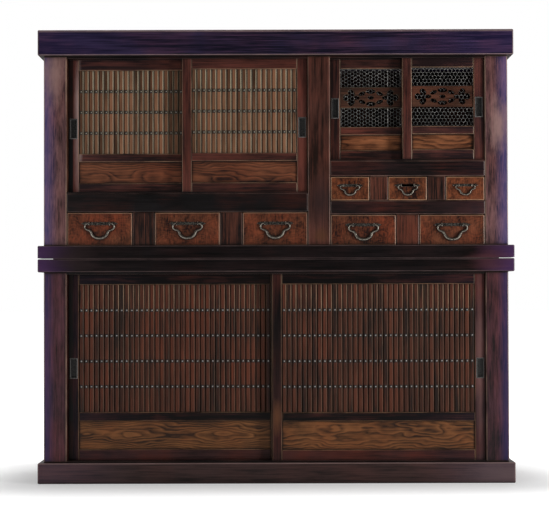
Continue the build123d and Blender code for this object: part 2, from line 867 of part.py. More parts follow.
def bail(x, z, span, curl, shoulder, leg, bow_corner, bar):
    """A forged bar: two pins turned inwards, a curl outside each, and a deep bow between."""
    corner_turn = shoulder_angle - bow_foot_angle
    left_curl = JernArc((-span / 2, 0), (-1, 0), curl, 180)
    left_shoulder = JernArc(left_curl @ 1, left_curl % 1, shoulder, -shoulder_angle)
    leg_top = left_shoulder @ 1
    leg_foot = leg_top + (left_shoulder % 1) * leg
    left_corner = JernArc(leg_foot, left_shoulder % 1, bow_corner, corner_turn)
    foot_radius = -(left_corner @ 1).X / sin(radians(bow_foot_angle))
    foot = JernArc(left_corner @ 1, left_corner % 1, foot_radius, 2 * bow_foot_angle)
    half = [left_curl @ 0] + forged_run(left_curl, 180)
    half += forged_run(left_shoulder, shoulder_angle) + [leg_foot]
    half += forged_run(left_corner, corner_turn)
    corners = half + forged_run(foot, 2 * bow_foot_angle)[:-1]
    corners += [Vector(-corner.X, corner.Y) for corner in reversed(half)]
    path = front_plane(x, pin_plane_y(bar), z) * Polyline(*corners)
    start = Plane(path @ 0, z_dir=path % 0)
    solid = sweep(start * RegularPolygon(bar, forged_flat_count), path=path, transition=Transition.RIGHT)
    pin_length = eye_gap + eye_thickness + pin_end
    pin = Cylinder(bar - pin_shoulder, pin_length, align=(Align.CENTER, Align.CENTER, Align.MIN))
    for side in (-1, 1):
        solid += Pos(x + side * span / 2, pin_plane_y(bar), z) * Rot(0, -90 * side, 0) * pin
    return solid


large_bends = (large_curl_radius, large_shoulder_radius, large_leg, large_bow_corner)
small_bends = (small_curl_radius, small_shoulder_radius, small_leg, small_bow_corner)
large_handle = (large_bail_span, large_bends, large_bar)
small_handle = (small_bail_span, small_bends, small_bar)


def drawer_row(name, row, z0, z1, handle, margin, height, rise):
    """Every drawer of a row, each with its plate and its bail."""
    span, bends, bar = handle
    for number, (x0, x1) in enumerate(row, start=1):
        x = (x0 + x1) / 2
        z = z0 + (z1 - z0) * rise
        save(f"{name}_{number}_box", drawer_box(x0, x1, z0, z1))
        save(f"{name}_{number}_plate", [handle_plate(x, z, span, bar, margin, height)])
        save(f"{name}_{number}_bail", [bail(x, z, span, *bends, bar)])


large_plate = (bail_plate_margin, large_plate_height, handle_rise)
small_plate = (small_plate_margin, small_plate_height, small_handle_rise)
drawer_row("left_drawer", left_openings, upper_floor, left_sill_floor, large_handle, *large_plate)
drawer_row("right_drawer", large_openings, upper_floor, middle_rail_floor, large_handle, *large_plate)
drawer_row("small_drawer", small_openings, small_drawer_floor, right_rail_floor, small_handle, *small_plate)
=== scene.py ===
import bmesh
import bpy
import json
import math
import random
from mathutils import Matrix, Vector


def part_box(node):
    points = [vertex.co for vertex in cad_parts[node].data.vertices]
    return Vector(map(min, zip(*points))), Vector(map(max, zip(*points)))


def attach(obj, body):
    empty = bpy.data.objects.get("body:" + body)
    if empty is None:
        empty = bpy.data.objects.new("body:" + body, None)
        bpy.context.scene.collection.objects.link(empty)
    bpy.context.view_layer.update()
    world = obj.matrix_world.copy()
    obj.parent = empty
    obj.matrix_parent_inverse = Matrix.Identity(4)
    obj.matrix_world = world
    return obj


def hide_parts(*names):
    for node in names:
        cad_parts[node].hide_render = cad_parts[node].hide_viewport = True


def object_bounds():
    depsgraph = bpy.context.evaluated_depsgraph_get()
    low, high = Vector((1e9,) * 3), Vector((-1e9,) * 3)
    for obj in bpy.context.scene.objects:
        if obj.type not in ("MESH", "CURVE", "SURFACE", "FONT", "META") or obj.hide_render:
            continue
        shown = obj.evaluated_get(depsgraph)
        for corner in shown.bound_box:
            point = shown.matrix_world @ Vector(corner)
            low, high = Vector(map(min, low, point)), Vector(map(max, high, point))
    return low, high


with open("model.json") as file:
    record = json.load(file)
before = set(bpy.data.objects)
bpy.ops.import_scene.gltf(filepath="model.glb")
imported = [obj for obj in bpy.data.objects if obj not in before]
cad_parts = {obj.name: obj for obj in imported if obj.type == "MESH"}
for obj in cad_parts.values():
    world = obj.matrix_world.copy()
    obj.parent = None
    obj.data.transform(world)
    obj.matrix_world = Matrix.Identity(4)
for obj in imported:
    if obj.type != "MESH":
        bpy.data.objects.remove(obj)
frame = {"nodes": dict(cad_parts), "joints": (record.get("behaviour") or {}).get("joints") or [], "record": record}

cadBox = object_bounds()
mm = 0.001
quarter = math.radians(90)
bodyOf = {node: body for body, nodes in frame["record"]["behaviour"]["bodies"].items() for node in nodes}
print("frame loaded:", len(frame["nodes"]), "nodes")


# small helpers

def linear(hexText):
    channels = [int(hexText[i:i + 2], 16) / 255 for i in (1, 3, 5)]
    return [c / 12.92 if c <= 0.04045 else ((c + 0.055) / 1.055) ** 2.4 for c in channels] + [1.0]


def addNode(tree, kind, inputs=None, **settings):
    node = tree.nodes.new("ShaderNode" + kind)
    for key, value in settings.items():
        setattr(node, key, value)
    for key, value in (inputs or {}).items():
        if isinstance(value, bpy.types.Node):    # its first live socket
            value = next(socket for socket in value.outputs if socket.enabled)
        if isinstance(value, bpy.types.NodeSocket):
            tree.links.new(value, node.inputs[key])
        else:
            node.inputs[key].default_value = value
    return node


def newMaterial(name):
    material = bpy.data.materials.new(name)
    material.use_nodes = True
    material.node_tree.nodes.clear()
    return material, material.node_tree


def finishMaterial(tree, shader):
    addNode(tree, "OutputMaterial", {"Surface": shader})


def addObject(name, data):
    thing = bpy.data.objects.new(name, data)
    bpy.context.scene.collection.objects.link(thing)
    return thing


def meshOf(bm, name):
    mesh = bpy.data.meshes.new(name)
    bm.to_mesh(mesh)
    bm.free()
    return mesh


def slicePlane(bm, point, normal, **options):
    bmesh.ops.bisect_plane(bm, geom=bm.verts[:] + bm.edges[:] + bm.faces[:], plane_co=point,
                           plane_no=normal, **options)


def raiseFaces(bm, faces, height):
    grown = bmesh.ops.extrude_face_region(bm, geom=faces)["geom"]
    lifted = [g for g in grown if isinstance(g, bmesh.types.BMVert)]
    bmesh.ops.translate(bm, vec=(0, 0, height), verts=lifted)
    return lifted


def finishPiece(bm, name, materials, node=None, body=None, smoothAngle=None):
    for face in bm.faces:
        face.smooth = smoothAngle is not None
    if smoothAngle is not None:
        for edge in bm.edges:
            edge.smooth = len(edge.link_faces) == 2 and edge.calc_face_angle(0) < math.radians(smoothAngle)
    mesh = meshOf(bm, name)
    for material in materials:
        mesh.materials.append(material)
    piece = addObject(name, mesh)
    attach(piece, body or bodyOf[node])
    if node:
        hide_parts(node)
    return piece


# lacquered wood: wiped urushi over old softwood and elm, dark in the pores, with a light line along
# every arris, partly rubbed wood and partly painted highlight

woodDefaults = {
    "dark": "#1c1211", "light": "#5a3a30", "worn": "#8d6f60", "cast": "#000000",
    "ringWidth": 8,      # mm between growth rings, coarser than the real 2 to 4 so that they show
    "ringSwing": 2.2,    # how many rings the figure wanders
    "ringShare": 0.25, "fibreShare": 0.55, "patchShare": 0.6, "toneShare": 0.35,
    "hue": "#6b2a14", "hueShare": 0.35,    # redder where the lacquer is thin
    "figureLength": 700, "figureWidth": 60, "fibreLength": 160, "fibreWidth": 4.5,    # mm
    "patchLength": 260, "patchWidth": 70, "thinPlace": 222.22, "rubbedPlace": 111.11,    # mm
    "wornLeast": 0.08, "wornShare": 0.6,   # how far the arrises are made pale, as wear and painted highlight, at least and at most
    "border": 0.3, "borderWidth": 9,       # a board darkens towards its edges, painted shade and old wax, mm
    "wax": "#0a0606", "stain": 0.75,       # the colour of the darkened edge and of the nail-row bands, and how dark the bands are
    "patches": (),       # places made paler or darker, some bleached, some painted shade or sheen: across, up, half width, half height in m, colour
    "unrubbed": (),      # the same, laid over the pale arrises: painted shade and shadow, and a painted sheen
    "castFrom": 0.35, "castTo": 0.91,      # where the painted plum sheen begins and is full, m from the middle
    "castCover": 0.0,                      # how much of the wood's own colour the painted sheen hides
    "castAside": 0.3,                      # share of the painted sheen on faces that don't look forwards
    "brownAside": 0.0, "asideTint": (1.1, 0.9, 0.5, 1),    # how far those turn from plum to brown
    "soot": 0.85, "sootReach": 22,         # share of painted shade and soot in corners, and how far out, mm
    "sootColour": "#060404",
    "gloss": 0.4, "glossSpread": 0.16, "sheen": 0.15,
    "bump": 0.25, "bumpHeight": 0.4,       # mm
}
ringShades = ((0.0, 0.25), (0.55, 1.0), (0.85, 0.0), (1.0, 0.25))    # from one ring's start to the next
ringMiddle = 0.58        # the ring shade that leaves a board as light as it is
noiseGain = 3            # a noise keeps near its middle, so it is stretched
turning = {"From Min": 0.2, "From Max": 0.7}     # between a face that looks aside and one that looks forwards
spotEdge = {"ragged": 1.6, "full": -0.7, "gone": 0.3, "cover": 0.75}     # in radii, and ragged by the lacquer


def grainShade(tree, look):
    # how light the wood is at each place, with the two noises that later layers share
    grain = addNode(tree, "Attribute", attribute_name="grain").outputs["Vector"]
    tone = addNode(tree, "Attribute", attribute_name="boardTone").outputs["Fac"]

    # growth rings about the tree's heart, wandering along the board
    thick = 1 / look["figureWidth"]
    slow = addNode(tree, "Mapping", {"Vector": grain, "Scale": (1 / look["figureLength"], thick, thick)})
    swing = addNode(tree, "TexNoise", {"Vector": slow, "Scale": 1.0, "Detail": 2.5})
    across = addNode(tree, "VectorMath", {0: grain, 1: (0.0, 1.0, 1.0)}, operation="MULTIPLY")
    radius = addNode(tree, "VectorMath", {0: across}, operation="LENGTH")
    turns = addNode(tree, "Math", {0: radius.outputs["Value"], 1: look["ringWidth"]}, operation="DIVIDE")
    wander = addNode(tree, "Math", {0: swing.outputs["Fac"], 1: look["ringSwing"] * 2, 2: turns},
                     operation="MULTIPLY_ADD")
    phase = addNode(tree, "Math", {0: wander}, operation="FRACT")
    ring = addNode(tree, "ValToRGB", {"Fac": phase})
    stops = ring.color_ramp.elements
    for number, (position, value) in enumerate(ringShades):
        stop = stops[number] if number < 2 else stops.new(position)
        stop.position, stop.color = position, (value, value, value, 1)

    # fibres, drawn out along the grain
    fine = 1 / look["fibreWidth"]
    thin = addNode(tree, "Mapping", {"Vector": grain, "Scale": (1 / look["fibreLength"], fine, fine)})
    fibre = addNode(tree, "TexNoise", {"Vector": thin, "Scale": 1.0, "Detail": 4.0,
                                       "Roughness": 0.6})
    # thin and thick places in the lacquer
    broad = 1 / look["patchWidth"]
    wide = addNode(tree, "Mapping", {"Vector": grain, "Scale": (1 / look["patchLength"], broad, broad)})
    patch = addNode(tree, "TexNoise", {"Vector": wide, "Scale": 1.0, "Detail": 5.0,
                                       "Roughness": 0.65})

    shade = addNode(tree, "Math", {0: ring.outputs["Color"], 1: look["ringShare"],
                                   2: 0.5 - look["ringShare"] * ringMiddle}, operation="MULTIPLY_ADD")
    for source, share in ((fibre.outputs["Fac"], look["fibreShare"] * noiseGain),
                          (patch.outputs["Fac"], look["patchShare"] * noiseGain), (tone, look["toneShare"])):
        centred = addNode(tree, "Math", {0: source, 1: 0.5}, operation="SUBTRACT")
        shade = addNode(tree, "Math", {0: centred, 1: share, 2: shade},
                        operation="MULTIPLY_ADD")
    return addNode(tree, "Clamp", {"Value": shade}), fibre, patch


def woodColour(tree, look, shade, place):
    wood = addNode(tree, "Mix", {0: shade, 6: linear(look["dark"]), 7: linear(look["light"])},
                   data_type="RGBA")
    age = addNode(tree, "TexNoise", {"Vector": place, "Scale": 1 / (look["thinPlace"] * mm), "Detail": 3.0,
                                     "Roughness": 0.6})
    thinned = addNode(tree, "MapRange", {"Value": age.outputs["Fac"], "From Min": 0.42, "From Max": 0.68,
                                         "To Min": 0.0, "To Max": look["hueShare"]})
    reddened = addNode(tree, "Math", {0: thinned, 1: shade}, operation="MULTIPLY")
    return addNode(tree, "Mix", {0: reddened, 6: wood, 7: linear(look["hue"])},
                   data_type="RGBA")


def plumCast(tree, look, wood, place, front):
    # a painted plum sheen, a painted reflection, towards both ends and most on faces that look forwards
    split = addNode(tree, "SeparateXYZ", {"Vector": place})
    side = addNode(tree, "Math", {0: split.outputs["X"]}, operation="ABSOLUTE")
    outer = addNode(tree, "MapRange", {"Value": side, "From Min": look["castFrom"],
                                       "From Max": look["castTo"]}, interpolation_type="SMOOTHSTEP")
    castThere = addNode(tree, "MapRange", {"Value": front, **turning,
                                           "To Min": look["castAside"], "To Max": 1.0})
    outer = addNode(tree, "Math", {0: outer, 1: castThere}, operation="MULTIPLY")
    hidden = addNode(tree, "Math", {0: outer, 1: look["castCover"]}, operation="MULTIPLY")
    wood = addNode(tree, "Mix", {0: hidden, 6: wood, 7: (0, 0, 0, 1)},
                   data_type="RGBA")
    plum = addNode(tree, "Mix", {0: outer, 6: wood, 7: linear(look["cast"])},
                   data_type="RGBA", blend_type="ADD")
    aside = addNode(tree, "MapRange", {"Value": front, **turning,
                                       "To Min": look["brownAside"], "To Max": 0.0})
    return addNode(tree, "Mix", {0: aside, 6: plum, 7: look["asideTint"]},
                   data_type="RGBA", blend_type="MULTIPLY")


def waxedBorder(tree, look, colour, patch):
    # a darker, uneven border just inside the arrises, painted shade taken also for old wax, and darker bands along
    # the rows of nails
    inBoard = addNode(tree, "Attribute", attribute_name="boardPlace").outputs["Vector"]
    half = addNode(tree, "Attribute", attribute_name="boardHalf").outputs["Vector"]
    offMiddle = addNode(tree, "VectorMath", {0: inBoard}, operation="ABSOLUTE")
    toEdge = addNode(tree, "VectorMath", {0: half, 1: offMiddle}, operation="SUBTRACT")
    toEdge = addNode(tree, "SeparateXYZ", {"Vector": toEdge})
    nearest = addNode(tree, "Math", {0: toEdge.outputs["X"], 1: toEdge.outputs["Y"]}, operation="MINIMUM")
    uneven = addNode(tree, "Math", {0: patch.outputs["Fac"], 1: look["borderWidth"] * 2,
                                    2: nearest}, operation="MULTIPLY_ADD")
    border = addNode(tree, "MapRange", {"Value": uneven, "From Min": look["borderWidth"] * 0.6,
                                        "From Max": look["borderWidth"] * 1.9, "To Min": look["border"],
                                        "To Max": 0.0}, interpolation_type="SMOOTHSTEP")
    rust = addNode(tree, "Attribute", attribute_name="ironStain").outputs["Fac"]
    rust = addNode(tree, "Math", {0: rust, 1: look["stain"], 2: border},
                   operation="MULTIPLY_ADD", use_clamp=True)
    return addNode(tree, "Mix", {0: rust, 6: colour, 7: linear(look["wax"])},
                   data_type="RGBA")


def spotted(tree, places, colour, place, front, patch):
    # places made paler or darker with ragged edges: some bleached, others painted shade, shadow or sheen
    for x, z, wide, high, shadeThere in places:
        spot = addNode(tree, "VectorMath", {0: place, 1: (x, 0.0, z)}, operation="SUBTRACT")
        spot = addNode(tree, "VectorMath", {0: spot, 1: (1 / wide, 0.0, 1 / high)},
                       operation="MULTIPLY")
        spot = addNode(tree, "VectorMath", {0: spot}, operation="LENGTH")
        ragged = addNode(tree, "Math", {0: patch.outputs["Fac"], 1: -spotEdge["ragged"],
                                        2: spot.outputs["Value"]}, operation="MULTIPLY_ADD")
        faded = addNode(tree, "MapRange", {"Value": ragged, "From Min": spotEdge["full"],
                                           "From Max": spotEdge["gone"], "To Min": spotEdge["cover"],
                                           "To Max": 0.0})
        faded = addNode(tree, "Math", {0: faded, 1: front}, operation="MULTIPLY")
        colour = addNode(tree, "Mix", {0: faded, 6: colour, 7: linear(shadeThere)},
                         data_type="RGBA")
    return colour


def rubbedArrises(tree, look, colour, place):
    # arrises made paler, partly rubbed-through wood and partly painted highlight, more in some places than in
    # others
    arris = addNode(tree, "Attribute", attribute_name="edgeWear").outputs["Fac"]
    rub = addNode(tree, "TexNoise", {"Vector": place, "Scale": 1 / (look["rubbedPlace"] * mm),
                                     "Detail": 4.0, "Roughness": 0.6})
    rubbed = addNode(tree, "MapRange", {"Value": rub.outputs["Fac"], "From Min": 0.34, "From Max": 0.62,
                                        "To Min": look["wornLeast"], "To Max": look["wornShare"]})
    amount = addNode(tree, "Math", {0: arris, 1: rubbed}, operation="MULTIPLY")
    return addNode(tree, "Mix", {0: amount, 6: colour, 7: linear(look["worn"])},
                   data_type="RGBA")


def sootyCorners(tree, look, colour):
    # painted shade in the corners, from an occlusion mask, taken also for soot and old wax
    corner = addNode(tree, "AmbientOcclusion", {"Distance": look["sootReach"] * mm}, samples=6)
    sooty = addNode(tree, "MapRange", {"Value": corner.outputs["AO"], "From Min": 0.42, "From Max": 0.9,
                                       "To Min": look["soot"], "To Max": 0.0})
    return addNode(tree, "Mix", {0: sooty, 6: colour, 7: linear(look["sootColour"])},
                   data_type="RGBA")


def lacqueredWood(name, **look):
    look = {**woodDefaults, **look}
    material, tree = newMaterial(name)
    coordinates = addNode(tree, "TexCoord")
    place = coordinates.outputs["Object"]
    facing = addNode(tree, "SeparateXYZ", {"Vector": coordinates.outputs["Normal"]})
    front = addNode(tree, "Math", {0: facing.outputs["Y"], 1: -1.0}, operation="MULTIPLY", use_clamp=True)

    shade, fibre, patch = grainShade(tree, look)
    colour = woodColour(tree, look, shade, place)
    colour = plumCast(tree, look, colour, place, front)
    colour = waxedBorder(tree, look, colour, patch)
    colour = spotted(tree, look["patches"], colour, place, front, patch)
    colour = rubbedArrises(tree, look, colour, place)
    colour = spotted(tree, look["unrubbed"], colour, place, front, patch)
    colour = sootyCorners(tree, look, colour)

    rough = addNode(tree, "MapRange", {"Value": patch.outputs["Fac"], "From Min": 0.3, "From Max": 0.7,
                                       "To Min": look["gloss"] - look["glossSpread"] / 2,
                                       "To Max": look["gloss"] + look["glossSpread"] / 2})
    relief = addNode(tree, "Math", {0: fibre.outputs["Fac"], 1: 0.6, 2: shade},
                     operation="MULTIPLY_ADD")
    bump = addNode(tree, "Bump", {"Height": relief, "Strength": look["bump"],
                                  "Distance": look["bumpHeight"] * mm})
    shader = addNode(tree, "BsdfPrincipled", {"Base Color": colour,
                                              "Roughness": rough,
                                              "Specular IOR Level": look["sheen"],
                                              "Normal": bump})
    finishMaterial(tree, shader)
    return material


# wrought iron, forged and oiled: near black scale, grey where it is rubbed bright, and a painted highlight on the
# plates' arrises and the nails' domes

ironDefaults = {
    "scale": "#1d1b1b", "rubbed": "#6d6a66",
    "bare": 0.5, "edgeShare": 0.6,         # how far the flats and the arrises are made pale, rubbed iron and painted highlight
    "roughness": 0.42, "metallic": 0.85,
    "spotSize": 6.25, "dentSize": 11.11, "dentDepth": 0.6, "hammered": 0.2,     # mm, and the dents' share
}


def blackenedIron(name, **look):
    look = {**ironDefaults, **look}
    material, tree = newMaterial(name)
    place = addNode(tree, "TexCoord").outputs["Object"]
    arris = addNode(tree, "Attribute", attribute_name="edgeWear").outputs["Fac"]
    spots = addNode(tree, "TexNoise", {"Vector": place, "Scale": 1 / (look["spotSize"] * mm), "Detail": 4.0})
    dents = addNode(tree, "TexNoise", {"Vector": place, "Scale": 1 / (look["dentSize"] * mm), "Detail": 1.0})
    thin = addNode(tree, "MapRange", {"Value": spots.outputs["Fac"], "From Min": 0.4, "From Max": 0.7,
                                      "To Min": 0.0, "To Max": look["bare"]})
    edge = addNode(tree, "Math", {0: arris, 1: look["edgeShare"], 2: thin},
                   operation="MULTIPLY_ADD", use_clamp=True)
    colour = addNode(tree, "Mix", {0: edge, 6: linear(look["scale"]), 7: linear(look["rubbed"])},
                     data_type="RGBA")
    bump = addNode(tree, "Bump", {"Height": dents.outputs["Fac"], "Strength": look["hammered"],
                                  "Distance": look["dentDepth"] * mm})
    shader = addNode(tree, "BsdfPrincipled", {"Base Color": colour, "Metallic": look["metallic"],
                                              "Roughness": look["roughness"], "Normal": bump})
    finishMaterial(tree, shader)
    return material


# boards: each solid of a wooden node gets its own eased arrises, grain and tone

weld = 1e-6                    # m, nearer than which two corners are one
flat = math.radians(0.5)       # faces that meet flatter than this are one face
square, nearlySquare = 0.95, 0.9      # the least share of such a face's normal along its axis


def numberSolids(bm, layer):
    # a solid ends where its last open edge closes
    openEdges, number = set(), 0
    for face in bm.faces:
        corners = [tuple(round(c, 6) for c in v.co) for v in face.verts]
        for pair in zip(corners, corners[1:] + corners[:1]):
            openEdges ^= {frozenset(pair)}
        face[layer] = number
        if not openEdges:
            number += 1
    return number


def inOrder(things):
    # each once and always in the same order, which a set doesn't keep from one run to the next
    return list(dict.fromkeys(things))


def easedSolids(node, ease, sharpest=28):
    # bevels every outer arris that is sharper than so many degrees, by so many mm
    bm = bmesh.new()
    bm.from_mesh(frame["nodes"][node].data)
    solid = bm.faces.layers.int.new("solid")
    for number in range(numberSolids(bm, solid)):
        faces = [f for f in bm.faces if f[solid] == number]
        bmesh.ops.remove_doubles(bm, verts=inOrder(v for f in faces for v in f.verts), dist=weld)
        faces = [f for f in bm.faces if f[solid] == number]
        bmesh.ops.dissolve_limit(bm, angle_limit=flat, verts=inOrder(v for f in faces for v in f.verts),
                                 edges=inOrder(e for f in faces for e in f.edges))
        edges = inOrder(e for f in bm.faces if f[solid] == number for e in f.edges)
        arrises = [e for e in edges if len(e.link_faces) == 2
                   and e.calc_face_angle_signed(0) > math.radians(sharpest)]
        if ease and arrises:
            made = bmesh.ops.bevel(bm, geom=arrises, offset=ease * mm, offset_type="OFFSET",
                                   segments=1, profile=0.5, affect="EDGES", clamp_overlap=True,
                                   material=-1)
            for face in made["faces"]:
                face[solid] = number
    return bm, solid


def wearArrises(bm, solid, share=None, band=None):
    # every slanting face is marked pale, as wear and painted highlight, and the front of a board within a band of
    # heights as a painted highlight line
    wear = bm.loops.layers.float.new("edgeWear")
    for face in bm.faces:
        face.normal_update()
        slanting = max(abs(c) for c in face.normal) < square
        amount = share(face, face[solid]) if share and slanting else float(slanting)
        if band and face.normal.y < -nearlySquare and band[0] < face.calc_center_median().z < band[1]:
            amount = 1.0
        for loop in face.loops:
            loop[wear] = amount


def solidBoxes(bm, solid):
    boxes = {}
    for face in bm.faces:
        boxes.setdefault(face[solid], []).extend(v.co for v in face.verts)
    return {number: (Vector(map(min, zip(*points))), Vector(map(max, zip(*points))))
            for number, points in boxes.items()}


sawing = {"length": 9000, "heart": (25, 110)}     # mm of tree, and how far off its heart boards are sawn


def layGrain(bm, solid, tones=None):
    # the grain runs along a board's longest side; its coordinates are in mm from the tree's heart
    grain, inBoard, half = (bm.verts.layers.float_vector.new(name)
                            for name in ("grain", "boardPlace", "boardHalf"))
    tone = bm.verts.layers.float.new("boardTone")
    boards = {}
    for number, (low, high) in sorted(solidBoxes(bm, solid).items()):
        size = (high - low) / mm
        order = sorted(range(3), key=lambda axis: -size[axis])
        depth = random.uniform(*sawing["heart"]) * random.choice((-1, 1))
        along, aside = random.uniform(0, sawing["length"]), random.uniform(-0.5, 0.5) * size[order[1]]
        start = Vector((along, aside, depth))
        shade = random.random()
        if tones:
            shade = tones(low, high)
        boards[number] = ((low + high) / 2, order, start, Vector([size[axis] / 2 for axis in order]), shade)
    for face in bm.faces:
        centre, order, start, reach, shade = boards[face[solid]]
        for vert in face.verts:
            local = (vert.co - centre) / mm
            local = Vector([local[axis] for axis in order])
            vert[grain], vert[inBoard], vert[half], vert[tone] = local + start, local, reach, shade


def solidsOf(node):
    # the lowest and highest corner of each solid in a node
    source = bmesh.new()
    source.from_mesh(frame["nodes"][node].data)
    solid = source.faces.layers.int.new("solid")
    numberSolids(source, solid)
    boxes = list(solidBoxes(source, solid).values())
    source.free()
    return boxes


def isLevel(low, high):
    return high.x - low.x > high.z - low.z


stainReach = 6.5     # mm above and below a row of nails within which the cedar is made darker


def woodenPiece(node, materials, ease, pick=None, share=None, tones=None, blackTo=None, shape=None,
                inside=None, band=None, stains=(), dullUnder=False):
    random.seed(node)
    bm, solid = easedSolids(node, ease)
    if shape:
        shape(bm, solid)
    for height in band or [z + side * stainReach * mm for z in stains for side in (-1, 1)]:
        slicePlane(bm, (0, 0, height), (0, 0, 1))
    wearArrises(bm, solid, share, band)
    layGrain(bm, solid, tones)
    stain = bm.loops.layers.float.new("ironStain")
    for face in bm.faces if stains else ():
        height = face.calc_center_median().z
        for loop in face.loops:
            loop[stain] = float(min(abs(height - z) for z in stains) < stainReach * mm)
    if pick:
        boxes = solidBoxes(bm, solid)
        for face in bm.faces:
            face.material_index = pick(*boxes[face[solid]])
    if blackTo:
        slicePlane(bm, (blackTo, 0, 0), (1, 0, 0))
    for face in bm.faces:
        centre = face.calc_center_median()
        under = dullUnder and face.normal.z < -nearlySquare
        shutIn = inside and abs(centre.x) < inside[0] and centre.y < inside[1]
        neverWiped = blackTo and centre.x < blackTo
        if under or shutIn or neverWiped:    # painted shade under boards, the post's painted shadow, near black inside faces
            face.material_index = 1
    bm.faces.layers.int.remove(solid)
    return finishPiece(bm, node + "_dressed", materials, node=node)


